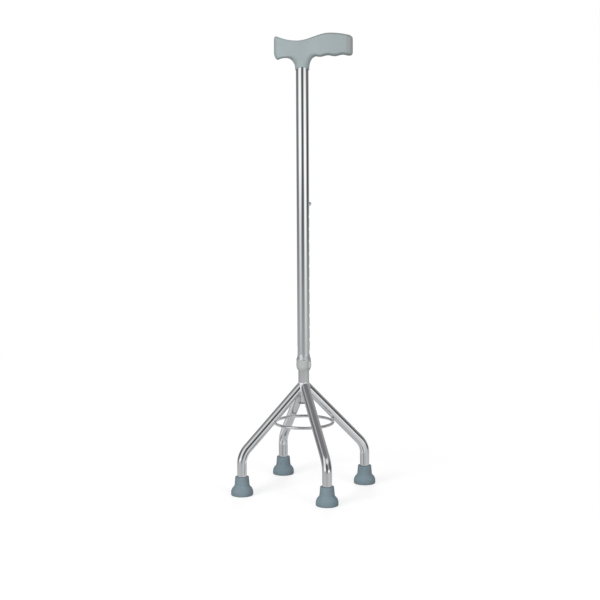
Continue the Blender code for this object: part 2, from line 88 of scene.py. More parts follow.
# Rubber ferrules
FERRULE_RIM = 12.2 * MM
FERRULE_FLOOR = 9.3 * MM
FERRULE_FIT = 0.15 * MM
FERRULE_EDGE = 0.9 * MM
TREAD_STARTS = (0.42, 0.72)
TREAD_WIDTH = 0.12
TREAD_DEPTH = 1.2 * MM

# Upper and lower tube
TUBE_WALL = 1.1 * MM
TUBE_CLEARANCE = 0.2 * MM
HOLE_COUNT = 13
HOLE_PITCH = 22.0 * MM
LOWEST_HOLE = 14.3 * MM
HOLE_RADIUS = 3.8 * MM
DRILL_REACH = 1.5
BELL_STRAIGHT = 1.3 * MM
BELL_KNEE = 4.9 * MM
BELL_KNEE_GROWTH = 0.65 * MM
BELL_TOP = 9.4 * MM
BELL_SOFTNESS = (0.45 * MM, 0.9 * MM, 1.6 * MM, 2.0 * MM)
POST_SOFTNESS = 0.3 * MM
BORE_STRAIGHT = 3.0 * MM
BORE_CONE = 5.6 * MM
SATIN_ABOVE_BELL = 2.5 * MM
SATIN_FADE = 2.0 * MM
# Height and fade of the painted shade at the post's lower end
END_SHADE_HEIGHT = 3.0 * MM
END_SHADE_FADE = 0.5 * MM

# Button, leaf spring, collar and grip
BUTTON_RADIUS = 3.5 * MM
BUTTON_FLANGE_THICKNESS = 1.0 * MM
PAD_HALF_SPAN = math.radians(52.0)
PAD_LOW = 4.6 * MM
PAD_HIGH = 16.1 * MM
COLLAR_VOXEL = 0.22 * MM
COLLAR_EASE = 3
# Length of the grip's heel end that carries painted shade
HEEL_SHADE_LENGTH = 11.5 * MM
GRIP_VOXEL = 0.55 * MM
GRIP_EASE = 30

# Facets
ROUND = 96
TUBE_SIDES = 128
FERRULE_SIDES = 72
BUTTON_SIDES = 64
DOME_STEPS = 20
LEG_SIDES = 72
LEG_BEND_STEPS = 28
RING_SIDES = 144
ROD_SIDES = 32
TACK_SIDES = 32
TACK_RINGS = 20
DRILL_SIDES = 40
CORNER_STEPS = 6
POST_CORNER_STEPS = 4
CREASE = 32
TACK_CREASE = 60
MERGE = 1e-7
CAD_MERGE = 1e-6

# Colours of the finishes
PLATING = (0.83, 0.84, 0.86)
PLATING_BRIGHT = (0.86, 0.87, 0.88)
PLATING_SMUDGED = (0.79, 0.8, 0.82)
# Painted shade at the post's lower end
END_SHADE_COLOUR = (0.24, 0.245, 0.26)
BEAD = (0.86, 0.87, 0.89)
BEAD_DARK = (0.76, 0.77, 0.79)
BEAD_LIGHT = (0.9, 0.91, 0.92)
POST_TONE = 0.79
COLLAR_GREY = (0.442, 0.454, 0.45)
# Painted highlight on the collar's thumb pad, and painted shade along its edge
PAD_HIGHLIGHT = (0.68, 0.7, 0.7)
PAD_EDGE_SHADE = (0.1, 0.105, 0.11)
GRIP_GREY = (0.33, 0.381, 0.39)
# Painted shade on the grip's heel end, and painted light paler towards its rim
HEEL_SHADE_DARK = (0.258, 0.277, 0.28)
HEEL_RIM_LIGHT = (0.375, 0.39, 0.39)
RUBBER = (0.205, 0.27, 0.306)
RUBBER_DARK = (0.193, 0.255, 0.289)
RUBBER_BLOOM = (0.218, 0.283, 0.319)
FLOOR_DIRT = (0.1, 0.115, 0.125)
LEAF_STEEL = (0.45, 0.46, 0.48)
WASHER_ZINC = (0.55, 0.56, 0.57)
BUSH_NYLON = (0.62, 0.62, 0.57)

# Floor
FLOOR_RADIUS = 1.6
FLOOR_DROP = 0.2 * MM
FLOOR_GLOW = 0.6
FLOOR_SEEN = (0.55, 0.55, 0.55)
FLOOR_BOUNCE = (0.28, 0.28, 0.28)

# Soft lamps: name, place, target, power. Each is a square of one size.
LAMP_SIZE = 1.6
LAMPS = [
    ("soft_left", (-2.0, -2.2, 1.0), (0, 0, 0.45), 48.0),
    ("soft_right", (1.7, -2.3, 0.9), (0, 0, 0.3), 22.0),
    ("soft_back", (0.2, 3.0, 0.7), (0, 0, 0.45), 50.0),
]

# Studio walls seen in the plating: turns from the camera in degrees, and how bright each stop is
FLOOR_RING = [
    (-180, 0.8), (-168, 0.75), (-160, 0.3), (-148, 0.68), (-112, 0.66), (-98, 0.2), (-82, 0.16),
    (-72, 0.75), (-52, 0.8), (-40, 0.3), (-22, 0.22), (-8, 0.66), (66, 0.7), (76, 0.25), (94, 0.18),
    (106, 0.7), (148, 0.68), (160, 0.3), (168, 0.75), (180, 0.8),
]
FAR_FLOOR_RING = [
    (-180, 0.92), (-170, 0.9), (-163, 0.14), (-153, 0.44), (-78, 0.46), (-52, 0.48), (-20, 0.43),
    (12, 0.43), (38, 0.53), (62, 0.54), (100, 0.5), (153, 0.44), (163, 0.14), (170, 0.9), (180, 0.92),
]
FOOT_WALLS = [
    (-180, 1.0), (-170, 1.0), (-163, 0.12), (-153, 0.42), (-150, 0.42), (-140, 0.23), (-84, 0.19),
    (-67, 0.88), (-40, 0.92), (-22, 0.09), (0, 0.09), (15, 0.12), (28, 0.9), (38, 1.2), (56, 1.12),
    (70, 0.55), (84, 0.08), (112, 0.07), (124, 0.25), (140, 0.42), (153, 0.42), (163, 0.12),
    (170, 1.0), (180, 1.0),
]
WALLS = [
    (-180, 1.0), (-170, 1.0), (-163, 0.12), (-153, 0.42), (-150, 0.42), (-140, 0.23), (-84, 0.19),
    (-67, 1.15), (-30, 1.15), (-14, 0.12), (0, 0.1), (14, 0.13), (27, 1.0), (37, 1.2), (58, 1.15),
    (70, 0.65), (84, 0.07), (112, 0.06), (124, 0.25), (140, 0.42), (153, 0.42), (163, 0.12),
    (170, 1.0), (180, 1.0),
]
MIDDLE_WALLS = [
    (-180, 0.85), (-170, 0.8), (-162, 0.1), (-152, 0.26), (-140, 0.2), (-76, 0.15), (-62, 0.9),
    (-36, 0.95), (-18, 0.3), (-7, 0.06), (12, 0.06), (22, 0.2), (36, 0.4), (54, 0.45), (64, 0.16),
    (74, 0.07), (88, 0.08), (102, 0.24), (124, 0.33), (140, 0.36), (152, 0.34), (162, 0.1),
    (170, 0.8), (180, 0.85),
]
HIGH_WALLS = [
    (-180, 0.3), (-128, 0.26), (-100, 0.32), (-72, 0.36), (-56, 0.9), (-40, 0.9), (-24, 0.52),
    (-8, 0.45), (4, 0.65), (18, 0.9), (54, 0.9), (72, 0.42), (110, 0.32), (140, 0.3), (180, 0.3),
]
CEILING = 0.2
MIDDLE_FLOOR = 0.7
NEAR_FLOOR = 0.5

# What lies over the foot walls, in this order: how steeply the way points up where each one starts
# and where it is full, how full it gets, and its ring or plain level
STUDIO_LAYERS = [
    (-0.08, -0.01, 1.0, WALLS),
    (-0.01, 0.13, 1.0, MIDDLE_WALLS),
    (0.4, 0.58, 1.0, HIGH_WALLS),
    (0.7, 0.83, 1.0, CEILING),
    (-0.035, -0.187, 0.96, FAR_FLOOR_RING),
    (-0.21, -0.33, 1.0, MIDDLE_FLOOR),
    (-0.33, -0.42, 1.0, FLOOR_RING),
    (-0.55, -0.8, 1.0, NEAR_FLOOR),
]
COOL = 1.01

# Fill light on everything but the plating's mirror: behind and before, and its share from below
FILL_BEHIND = 0.3
FILL_BEFORE = 0.9
FILL_FROM_BELOW = 0.4


# Mesh helpers

def shade(mesh, crease=CREASE):
    """Smooth faces, with edges steeper than the crease angle in degrees left sharp."""
    for face in mesh.polygons:
        face.use_smooth = True
    mesh.set_sharp_from_angle(angle=math.radians(crease))


def mesh_of(name, bm):
    """Turns a bmesh into a mesh and frees it."""
    mesh = bpy.data.meshes.new(name)
    bm.to_mesh(mesh)
    bm.free()
    return mesh


def put(name, mesh):
    """A new object in the scene, at the origin."""
    obj = bpy.data.objects.new(name, mesh)
    bpy.context.scene.collection.objects.link(obj)
    return obj


def settled(obj):
    """The mesh that an object's modifiers make of it. The modifiers are then gone."""
    depsgraph = bpy.context.evaluated_depsgraph_get()
    result = bpy.data.meshes.new_from_object(obj.evaluated_get(depsgraph))
    obj.modifiers.clear()
    return result


def piece(name, bm, finish):
    """Turns a bmesh into a shaded piece with its faces pointing out."""
    bmesh.ops.remove_doubles(bm, verts=bm.verts, dist=MERGE)
    bmesh.ops.recalc_face_normals(bm, faces=bm.faces)
    mesh = mesh_of(name, bm)
    mesh.materials.append(finish)
    shade(mesh)
    return put(name, mesh)


def rounded(profile, radii, steps):
    """Rounds the corners of a profile of (radius, height) points. A corner with no radius stays."""
    result = []
    for i, point in enumerate(profile):
        here = Vector(point)
        if i not in radii:
            result.append(point)
            continue
        before = Vector(profile[i - 1]) - here
        after = Vector(profile[(i + 1) % len(profile)]) - here
        start = here + before.normalized() * radii[i]
        end = here + after.normalized() * radii[i]
        for step in range(steps + 1):
            t = step / steps
            result.append(tuple((1 - t) ** 2 * start + 2 * t * (1 - t) * here + t ** 2 * end))
    return result


def spin(profile, sides, centre=(0, 0, 0)):
    """Spins a closed profile of (radius, height) points about an upright line through the centre."""
    bm = bmesh.new()
    ring = [bm.verts.new((r, 0, h)) for r, h in profile]
    edges = [bm.edges.new((ring[i], ring[(i + 1) % len(ring)])) for i in range(len(ring))]
    on_axis = [e for e in edges if all(v.co.x < MERGE for v in e.verts)]
    bmesh.ops.delete(bm, geom=on_axis, context="EDGES")
    bmesh.ops.spin(
        bm, geom=bm.verts[:] + bm.edges[:], cent=(0, 0, 0), axis=(0, 0, 1),
        angle=math.tau, steps=sides, use_merge=True,
    )
    bmesh.ops.remove_doubles(bm, verts=bm.verts, dist=MERGE)
    bmesh.ops.translate(bm, verts=bm.verts, vec=centre)
    return bm


def cad_copy(node):
    """A CAD node's solid as a bmesh, with its loose triangles merged."""
    bm = bmesh.new()
    bm.from_mesh(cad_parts[node].data)
    bmesh.ops.remove_doubles(bm, verts=bm.verts, dist=CAD_MERGE)
    return bm


def eased(mesh, name, finish, voxel, passes):
    """A piece made by finely remeshing and smoothing a mesh."""
    carrier = put(name + "_carrier", mesh)
    fine = carrier.modifiers.new("fine", "REMESH")
    fine.mode = "VOXEL"
    fine.voxel_size = voxel
    ease = carrier.modifiers.new("ease", "SMOOTH")
    ease.factor = 0.5
    ease.iterations = passes
    result = settled(carrier)
    bpy.data.objects.remove(carrier)
    result.name = name
    result.materials.clear()
    result.materials.append(finish)
    for face in result.polygons:
        face.use_smooth = True
    return put(name, result)


# Node helpers

class Nodes:
    """A node tree, with short ways to add to it."""

    def __init__(self, tree):
        self.tree = tree

    def add(self, kind, links=None, **settings):
        """Adds a node. Links go by socket name or number, to a socket or to a plain value."""
        node = self.tree.nodes.new(kind)
        for key, value in settings.items():
            setattr(node, key, value)
        for key, value in (links or {}).items():
            if isinstance(value, bpy.types.NodeSocket):
                self.join(value, node.inputs[key])
            else:
                node.inputs[key].default_value = value
        return node

    def out(self, kind, links=None, **settings):
        """Adds a node and returns its first output."""
        return self.add(kind, links, **settings).outputs[0]

    def join(self, socket, entry):
        self.tree.links.new(socket, entry)

    def maths(self, operation, a, b=0.0):
        return self.out("ShaderNodeMath", {0: a, 1: b}, operation=operation)

    def span(self, value, low, high, to_low, to_high, **settings):
        """Maps a value from one range to another, and clamps it."""
        return self.out("ShaderNodeMapRange", {
            "Value": value, "From Min": low, "From Max": high, "To Min": to_low, "To Max": to_high,
        }, **settings)

    def mix(self, share, a, b):
        """Mixes two colours, each a socket or a plain RGB."""
        sides = [(*c, 1.0) if isinstance(c, tuple) else c for c in (a, b)]
        node = self.add("ShaderNodeMix", {0: share, 6: sides[0], 7: sides[1]}, data_type="RGBA")
        return node.outputs[2]


class Shape(Nodes):
    """A geometry node tree with named inputs, which ends in Realize Instances and Set Material."""

    def __init__(self, name, lengths=(), counts=()):
        super().__init__(bpy.data.node_groups.new(name, "GeometryNodeTree"))
        face = self.tree.interface
        face.new_socket("Geometry", in_out="INPUT", socket_type="NodeSocketGeometry")
        for label in lengths:
            face.new_socket(label, in_out="INPUT", socket_type="NodeSocketFloat")
        for label in counts:
            face.new_socket(label, in_out="INPUT", socket_type="NodeSocketInt")
        face.new_socket("Finish", in_out="INPUT", socket_type="NodeSocketMaterial")
        face.new_socket("Geometry", in_out="OUTPUT", socket_type="NodeSocketGeometry")
        self.entry = self.tree.nodes.new("NodeGroupInput")

    def size(self, label):
        return self.entry.outputs[label]

    def vector(self, x=0.0, y=0.0, z=0.0):
        return self.out("ShaderNodeCombineXYZ", {"X": x, "Y": y, "Z": z})

    def moved(self, socket, **links):
        """Transforms a piece. Links are its Translation, Rotation or Scale."""
        return self.out("GeometryNodeTransform", {"Geometry": socket, **links})

    def cut(self, body, cutter):
        links = {"Mesh 1": body, "Mesh 2": cutter}
        return self.out("GeometryNodeMeshBoolean", links, operation="DIFFERENCE", solver="EXACT")

    def round_the_post(self, socket):
        """Sets copies of a piece about the post, at even turns from the first leg's own."""
        spots = self.out("GeometryNodeMeshLine", {"Count": self.size("Legs"), "Offset": (0, 0, 0)})
        index = self.out("GeometryNodeInputIndex")
        step = self.maths("DIVIDE", math.tau, self.size("Legs"))
        turn = self.maths("ADD", self.maths("MULTIPLY", index, step), self.size("First turn"))
        return self.out("GeometryNodeInstanceOnPoints", {
            "Points": spots, "Instance": socket, "Rotation": self.vector(z=turn),
        })

    def end(self, socket):
        real = self.out("GeometryNodeRealizeInstances", {0: socket})
        done = self.out("GeometryNodeSetMaterial", {"Geometry": real, "Material": self.size("Finish")})
        self.join(done, self.tree.nodes.new("NodeGroupOutput").inputs[0])
        return self


def grow(name, shape, values, finish, start=None, crease=CREASE):
    """Runs a shape's tree on an empty or given mesh, and returns the result as a plain piece."""
    carrier = put(name + "_carrier", start.data if start else bpy.data.meshes.new(name + "_start"))
    modifier = carrier.modifiers.new("shape", "NODES")
    modifier.node_group = shape.tree
    values = {**values, "Finish": finish}
    for item in shape.tree.interface.items_tree:
        if item.in_out == "INPUT" and item.name in values:
            modifier[item.identifier] = values[item.name]
    result = settled(carrier)
    bpy.data.objects.remove(carrier)
    if start:
        bpy.data.objects.remove(start)
    result.name = name
    shade(result, crease)
    return put(name, result)


# Finishes

class Finish(Nodes):
    """A Principled material and its nodes, added one by one."""

    def __init__(self, name, colour, roughness, metallic=0.0):
        self.material = bpy.data.materials.new(name)
        self.material.use_nodes = True
        super().__init__(self.material.node_tree)
        self.shader = self.tree.nodes["Principled BSDF"]
        self.shader.inputs["Base Color"].default_value = (*colour, 1.0)
        self.shader.inputs["Roughness"].default_value = roughness
        self.shader.inputs["Metallic"].default_value = metallic
        self.place = self.add("ShaderNodeTexCoord").outputs["Object"]

    def axes(self):
        """The place's X, Y and Z."""
        return self.add("ShaderNodeSeparateXYZ", {0: self.place}).outputs

    def noise(self, scale, detail, stretch=(1, 1, 1)):
        """Noise over Object coordinates, stretched by a scale for each axis."""
        mapping = self.out("ShaderNodeMapping", {"Vector": self.place, "Scale": stretch})
        links = {"Vector": mapping, "Scale": scale, "Detail": detail, "Roughness": 0.5}
        return self.add("ShaderNodeTexNoise", links).outputs["Fac"]

    def patches(self, value, low, high, a, b):
        """Mixes from one colour to another as a value goes from low to high."""
        return self.mix(self.span(value, low, high, 0.0, 1.0), a, b)

    def link(self, socket, name):
        self.join(socket, self.shader.inputs[name])

    def relief(self, height, distance, strength):
        """Bump from a height from 0 to 1, with its depth in metres, over any earlier bump."""
        earlier = self.shader.inputs["Normal"]
        links = {"Height": height, "Distance": distance, "Strength": strength}
        if earlier.is_linked:
            links["Normal"] = earlier.links[0].from_socket
        self.join(self.out("ShaderNodeBump", links), earlier)


def scaled(colour, by):
    return tuple(min(1.0, c * by) for c in colour)


def chrome_plate(name, polish=(1, 1, 1), low=0.05, high=0.13, tone=1.0, satin_top=None, end_shade_top=None):
    """Bright plating over polished steel: faint polishing lines, thin haze and dull smudges.

    Low and high are the roughness of its clearest and haziest patches.
    A tone below 1 is plating rubbed dull, as on a tube that slides in another.
    Below satin_top the plating is satin, as on a pressed bell that was left unpolished.
    Near the lower end, up to the given height, the colour is painted dark: painted shade in place of the
    shaded floor that the post's lower end mirrors.
    """
    finish = Finish(name, PLATING, 0.08, 1.0)
    height = finish.axes()[2]
    gloss = finish.span(finish.noise(38.0, 4.0, polish), 0.35, 0.7, low, high)
    if satin_top is not None:
        satin = finish.span(height, satin_top - SATIN_FADE, satin_top, 0.38, 0.0)
        gloss = finish.maths("MAXIMUM", gloss, satin)
        finish.link(finish.span(height, satin_top - SATIN_FADE, satin_top, 0.88, 1.0), "Metallic")
    finish.link(gloss, "Roughness")
    cloud = finish.noise(9.0, 3.0)
    body = finish.patches(cloud, 0.3, 0.75, scaled(PLATING_BRIGHT, tone), scaled(PLATING_SMUDGED, tone))
    # Painted shade: the post's last millimetres darkened in place of the shaded floor it mirrors
    if end_shade_top is not None:
        painted_end_shade = finish.span(height, end_shade_top - END_SHADE_FADE, end_shade_top + END_SHADE_FADE, 1.0, 0.0)
        body = finish.mix(painted_end_shade, body, END_SHADE_COLOUR)
    finish.link(body, "Base Color")
    finish.relief(finish.noise(900.0, 2.0, polish), 0.02 * MM, 0.25)
    return finish.material


def weld_plate(name):
    """Frosty plating over a weld: bright but not polished, with the ripple of the bead under it."""
    finish = Finish(name, BEAD, 0.35, 0.5)
    grain = finish.noise(420.0, 3.0)
    finish.link(finish.span(grain, 0.3, 0.7, 0.26, 0.44), "Roughness")
    finish.link(finish.patches(grain, 0.35, 0.65, BEAD_DARK, BEAD_LIGHT), "Base Color")
    finish.relief(finish.noise(520.0, 1.0), 0.25 * MM, 0.5)
    return finish.material


def moulded_plastic(name, colour, roughness, seam_axis=None, painted_light=None):
    """Satin moulding: fine sand grain, slight mottling and a thin parting line on one plane."""
    finish = Finish(name, colour, roughness)
    finish.shader.inputs["Specular IOR Level"].default_value = 0.42
    dark = scaled(colour, 0.94)
    body = finish.patches(finish.noise(26.0, 4.0), 0.3, 0.7, dark, scaled(colour, 1.05))
    grain = finish.noise(1900.0, 2.0)
    finish.link(finish.span(grain, 0.3, 0.7, roughness - 0.06, roughness + 0.08), "Roughness")
    finish.relief(grain, 0.04 * MM, 0.35)
    if seam_axis is not None:
        off = finish.maths("ABSOLUTE", finish.axes()[seam_axis])
        ridge = finish.span(off, 0.0, 0.35 * MM, 1.0, 0.0)
        finish.relief(ridge, 0.12 * MM, 0.6)
        body = finish.mix(finish.maths("MULTIPLY", ridge, 0.25), body, dark)
    # Painted highlight and shade from the given function, when there is one
    if painted_light:
        body = painted_light(finish, body)
    finish.link(body, "Base Color")
    return finish.material


def pad_highlight_and_shade(finish, body):
    """Painted highlight on the collar's thumb pad, paler than the body, and painted shade along its edge,
    round the +X side.
    """
    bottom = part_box("lock_collar")[0].z
    low, high = bottom + PAD_LOW, bottom + PAD_HIGH
    fade = 0.4 * MM
    x, y, z = finish.axes()
    bearing = finish.maths("ARCTAN2", finish.maths("ABSOLUTE", y), x)
    over = finish.span(z, low, low + fade, 0.0, 1.0)
    under = finish.span(z, high, high - fade, 0.0, 1.0)
    inside = finish.maths("MULTIPLY", over, under)

    def window(spread):
        """A share of 1 on the pad, or on a strip wider by a spread in radians to each side."""
        reach = PAD_HALF_SPAN + spread
        across = finish.span(bearing, reach, reach - 0.05, 0.0, 1.0)
        return finish.maths("MULTIPLY", across, inside)

    # Painted shade in a strip along the pad's edge, with the painted highlight over the pad itself
    edge = finish.maths("MULTIPLY", window(0.14), 0.35)
    return finish.mix(window(0.0), finish.mix(edge, body, PAD_EDGE_SHADE), PAD_HIGHLIGHT)


def heel_shade(finish, body):
    """Painted shade on the grip's heel end in place of an end face turned from the light: darker and more
    neutral behind a fine groove, with painted light making it paler towards its rim.
    """
    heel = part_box("handle_grip")[1].x - HEEL_SHADE_LENGTH
    x = finish.axes()[0]
    past = finish.span(x, heel - 0.3 * MM, heel + 0.6 * MM, 0.0, 0.85)
    off = finish.maths("ABSOLUTE", finish.maths("SUBTRACT", x, heel))
    finish.relief(finish.span(off, 0.0, 0.5 * MM, 0.0, 1.0), 0.15 * MM, 0.6)
    # Painted shade over the heel end, fading to painted light towards its rim
    return finish.mix(past, body, finish.patches(x, heel, heel + HEEL_SHADE_LENGTH, HEEL_SHADE_DARK, HEEL_RIM_LIGHT))


def moulded_rubber(name):
    """Matt grey rubber: fine grain, bloom in patches, and dirt from the floor round the sole."""
    finish = Finish(name, RUBBER, 0.72)
    finish.shader.inputs["Specular IOR Level"].default_value = 0.3
    body = finish.patches(finish.noise(70.0, 4.0), 0.3, 0.7, RUBBER_DARK, RUBBER_BLOOM)
    low_down = finish.span(finish.axes()[2], 0.0, 5.0 * MM, 0.5, 0.0)
    scuff = finish.maths("MULTIPLY", low_down, finish.noise(240.0, 3.0))
    finish.link(finish.mix(scuff, body, FLOOR_DIRT), "Base Color")
    grain = finish.noise(1500.0, 2.0)
    finish.link(finish.span(grain, 0.3, 0.7, 0.64, 0.8), "Roughness")
    finish.relief(grain, 0.06 * MM, 0.5)
    return finish.material


def spring_steel(name, colour, roughness):
    """Rolled or zinc-plated steel: fine lines along one way and small dull spots."""
    finish = Finish(name, colour, roughness, 1.0)
    lines = finish.noise(700.0, 2.0, (1, 1, 0.05))
    finish.link(finish.span(lines, 0.3, 0.7, roughness - 0.08, roughness + 0.1), "Roughness")
    spots = finish.noise(160.0, 3.0)
    finish.link(finish.patches(spots, 0.4, 0.7, colour, scaled(colour, 0.82)), "Base Color")
    finish.relief(lines, 0.02 * MM, 0.4)
    return finish.material


# Base

AROUND = {"Legs": LEG_COUNT, "First turn": FIRST_LEG_TURN}


def leg_corner():
    """Height at which a leg's shank and slope would meet without the bend."""
    return LEG_BEND_HEIGHT + LEG_BEND_RADIUS * math.tan(LEG_SPLAY / 2)


def crown():
    """Height at which the legs' centre lines meet on the post's axis."""
    return leg_corner() + FOOT_RADIUS / math.tan(LEG_SPLAY)


def leg_shape():
    """A tube swept along a shank, a bend and a slope, cut to the post, and set round the post."""
    shape = Shape("bent_legs", [
        "Foot radius", "Foot height", "Corner height", "Crown height", "Bend radius", "Tube radius",
        "Post radius", "First turn",
    ], ["Legs"])
    out = shape.size("Foot radius")
    top = shape.vector(z=shape.size("Crown height"))
    stops = [shape.vector(x=out, z=shape.size(height)) for height in ("Foot height", "Corner height")]
    stops.append(top)
    index = shape.out("GeometryNodeInputIndex")
    stop = shape.add("GeometryNodeIndexSwitch", {"Index": index}, data_type="VECTOR")
    stop.index_switch_items.new()
    for number, spot in enumerate(stops):
        shape.join(spot, stop.inputs[number + 1])
    blank = shape.out("GeometryNodeMeshLine", {"Count": len(stops), "Offset": (0, 0, 0.01)})
    path = shape.out("GeometryNodeSetPosition", {"Geometry": blank, "Position": stop.outputs[0]})
    bend = shape.out("GeometryNodeFilletCurve", {
        "Curve": shape.out("GeometryNodeMeshToCurve", {0: path}), "Radius": shape.size("Bend radius"),
        "Count": LEG_BEND_STEPS,
    }, mode="POLY")
    section = shape.out("GeometryNodeCurvePrimitiveCircle", {
        "Resolution": LEG_SIDES, "Radius": shape.size("Tube radius"),
    })
    tube = shape.out("GeometryNodeCurveToMesh", {"Curve": bend, "Profile Curve": section, "Fill Caps": True})
    post = shape.out("GeometryNodeMeshCylinder", {
        "Vertices": ROUND, "Radius": shape.size("Post radius"), "Depth": POST_CUTTER,
    })
    return shape.end(shape.round_the_post(shape.cut(tube, shape.moved(post, Translation=top))))


def make_legs(plate):
    legs = grow("chromed_legs", leg_shape(), {
        "Foot radius": FOOT_RADIUS, "Foot height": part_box("leg_1")[0].z, "Corner height": leg_corner(),
        "Crown height": crown(), "Bend radius": LEG_BEND_RADIUS, "Tube radius": LEG_RADIUS,
        "Post radius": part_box("lower_tube")[1].x, **AROUND,
    }, plate)
    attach(legs, "base")
    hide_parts("leg_1", "leg_2", "leg_3", "leg_4")


def crown_shape():
    """A stretch of the post and four stubs of leg, which the welds join."""
    shape = Shape("crown_core", [
        "Crown height", "Splay", "Reach", "Tube radius", "Post radius", "First turn",
    ], ["Legs"])
    post, stub = (
        shape.out("GeometryNodeMeshCylinder", {
            "Vertices": ROUND, "Radius": shape.size(radius), "Depth": shape.size("Reach"),
        })
        for radius in ("Post radius", "Tube radius")
    )
    drop = shape.maths("MULTIPLY", shape.size("Reach"), -0.5)
    lean = shape.vector(y=shape.maths("MULTIPLY", shape.size("Splay"), -1.0))
    hung = shape.moved(stub, Translation=shape.vector(z=drop))
    splayed = shape.moved(hung, Rotation=shape.out("FunctionNodeEulerToRotation", {0: lean}))
    both = shape.add("GeometryNodeJoinGeometry", {0: post})
    shape.join(shape.round_the_post(splayed), both.inputs[0])
    return shape.end(shape.moved(both.outputs[0], Translation=shape.vector(z=shape.size("Crown height"))))


def take_bore(obj, radius, height):
    """Takes the post's bore out of a piece that ends below a height."""
    bm = bmesh.new()
    bmesh.ops.create_cone(bm, cap_ends=True, segments=ROUND, radius1=radius, radius2=radius, depth=height * 2)
    bore = put("bore", mesh_of("bore", bm))
    cut = obj.modifiers.new("bore", "BOOLEAN")
    cut.operation = "DIFFERENCE"
    cut.solver = "EXACT"
    cut.object = bore
    obj.data = settled(obj)
    obj.data.name = obj.name
    bpy.data.objects.remove(bore)
    for face in obj.data.polygons:
        face.use_smooth = True


def make_crown_welds(plate):
    """Smooth fillets where the legs meet the post: an eased copy of the crown fills its corners."""
    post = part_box("lower_tube")[1].x
    core = grow("crown_core", crown_shape(), {
        "Crown height": crown(), "Splay": LEG_SPLAY, "Reach": WELD_REACH, "Tube radius": LEG_RADIUS,
        "Post radius": post, **AROUND,
    }, plate)
    welds = eased(core.data, "crown_welds", plate, WELD_VOXEL, WELD_EASE)
    bpy.data.objects.remove(core)
    take_bore(welds, post - TUBE_WALL / 2, crown() + WELD_REACH)
    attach(welds, "base")


def ring_shape():
    """A rod bent to a closed ring."""
    shape = Shape("brace_ring", ["Ring radius", "Rod radius", "Height"])
    path, section = (
        shape.out("GeometryNodeCurvePrimitiveCircle", {"Resolution": sides, "Radius": shape.size(radius)})
        for sides, radius in ((RING_SIDES, "Ring radius"), (ROD_SIDES, "Rod radius"))
    )
    rod = shape.out("GeometryNodeCurveToMesh", {"Curve": path, "Profile Curve": section})
    return shape.end(shape.moved(rod, Translation=shape.vector(z=shape.size("Height"))))


def tack_shape():
    """A squashed drop of weld between the ring and a leg's underside, set round the post."""
    shape = Shape("ring_tacks", ["Reach", "Height", "Size", "Tilt", "First turn"], ["Legs"])
    ball = shape.out("GeometryNodeMeshUVSphere", {
        "Segments": TACK_SIDES, "Rings": TACK_RINGS, "Radius": shape.size("Size"),
    })
    flat = shape.moved(ball, Scale=TACK_SHAPE)
    spot = shape.vector(x=shape.size("Reach"), z=shape.size("Height"))
    lean = shape.out("FunctionNodeEulerToRotation", {0: shape.vector(y=shape.size("Tilt"))})
    return shape.end(shape.round_the_post(shape.moved(flat, Translation=spot, Rotation=lean)))


def make_ring(plate, weld):
    low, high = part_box("brace_ring")
    height = (low.z + high.z) / 2
    ring = grow("brace_hoop", ring_shape(), {
        "Ring radius": high.x - RING_ROD_RADIUS, "Rod radius": RING_ROD_RADIUS, "Height": height,
    }, plate)
    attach(ring, "base")
    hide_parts("brace_ring")
    tacks = grow("ring_welds", tack_shape(), {
        "Reach": high.x - RING_ROD_RADIUS * (1 - math.cos(LEG_SPLAY)) + TACK_OUTSET,
        "Height": height + RING_ROD_RADIUS * math.sin(LEG_SPLAY), "Size": TACK_RADIUS,
        "Tilt": -LEG_SPLAY, **AROUND,
    }, weld, crease=TACK_CREASE)
    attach(tacks, "base")


def ferrule_section(radius, height):
    """Half section of a ferrule: tread, round foot, flare, tapered neck with a lip, and bore."""
    sole = radius - FERRULE_EDGE
    outline = [(0.0, 0.0)]
    for start in TREAD_STARTS:
        near, far = sole * start, sole * (start + TREAD_WIDTH)
        outline += [(near, 0.0), (near, TREAD_DEPTH), (far, TREAD_DEPTH), (far, 0.0)]
    soft = {}
    # The outside's corners: radius, height, and how far from the corner its rounding starts
    for out, up, corner in (
        (sole, 0.0, 0.5 * MM),
        (radius, FERRULE_EDGE, 0.6 * MM),
        (radius, 8.4 * MM, 3.0 * MM),
        (radius - 2.4 * MM, 13.0 * MM, 2.0 * MM),
        (FERRULE_RIM + 1.9 * MM, 16.2 * MM, 1.5 * MM),
        (FERRULE_RIM + 1.2 * MM, 18.5 * MM, 0.7 * MM),
        (FERRULE_RIM + 0.4 * MM, 27.0 * MM, 2.0 * MM),
        (FERRULE_RIM, height - 0.2 * MM, 0.7 * MM),
        (FERRULE_RIM - 1.1 * MM, height, 0.4 * MM),
    ):
        soft[len(outline)] = corner
        outline.append((out, up))
    bore = LEG_RADIUS + FERRULE_FIT
    outline += [(bore, height), (bore, FERRULE_FLOOR), (0.0, FERRULE_FLOOR)]
    return rounded(outline, soft, CORNER_STEPS)


def spread_shape():
    """Sets the input piece round the post at even turns."""
    shape = Shape("round_the_post", ["First turn"], ["Legs"])
    return shape.end(shape.round_the_post(shape.size("Geometry")))


def make_ferrules(rubber):
    low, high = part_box("ferrule_1")
    section = ferrule_section((high.x - low.x) / 2, high.z)
    one = piece("ferrule", spin(section, FERRULE_SIDES, (FOOT_RADIUS, 0, 0)), rubber)
    four = grow("rubber_ferrules", spread_shape(), AROUND, rubber, one)
    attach(four, "base")
    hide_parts("ferrule_1", "ferrule_2", "ferrule_3", "ferrule_4")


# Tubes

